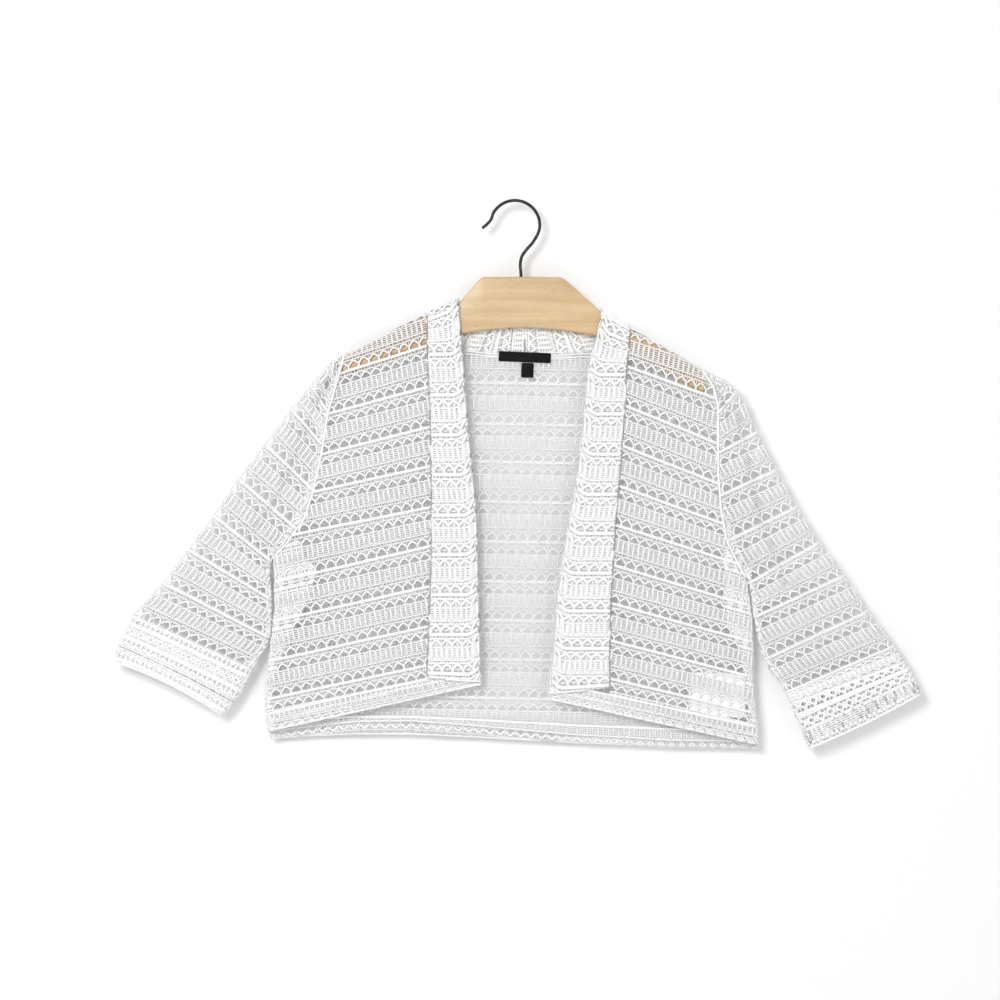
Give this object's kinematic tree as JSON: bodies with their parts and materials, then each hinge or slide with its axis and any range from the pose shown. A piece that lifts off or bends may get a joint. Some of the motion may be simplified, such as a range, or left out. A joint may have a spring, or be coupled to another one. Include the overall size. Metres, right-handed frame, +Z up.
{
  "type": "lace cardigan on wooden hanger",
  "caption": "Cropped open-front lace-knit cardigan with folded front bands, hung flat on a flat wooden hanger with a wire hook.",
  "frame": {"origin": "inner top of the bow of the hanger's hook, where the rail carries it", "axes": "+Z up, +X to the right seen from the front, the front of the cardigan faces -Y"},
  "size_m": [0.7671, 0.0188, 0.5224],
  "materials": {
    "white_lace_knit": "open lace knit of matt white yarn",
    "white_lace_knit_folded": "the same lace folded double, so nearly closed",
    "black_woven_label": "matt black woven tape, no lettering",
    "white_care_label": "smooth white satin tape, no print",
    "pale_wood": "clear satin lacquer over pale even grain",
    "black_wire": "smooth black coating on steel wire"
  },
  "bodies": {
    "root": {"hanger_wood": "pale_wood", "hanger_hook": "black_wire", "back_panel": "white_lace_knit", "front_left": "white_lace_knit", "front_right": "white_lace_knit", "sleeve_left": "white_lace_knit", "sleeve_right": "white_lace_knit", "band_left": "white_lace_knit_folded", "band_right": "white_lace_knit_folded", "cuff_left": "white_lace_knit_folded", "cuff_right": "white_lace_knit_folded", "neck_label": "black_woven_label", "size_tab": "black_woven_label", "care_label": "white_care_label"}
  },
  "joints": []
}
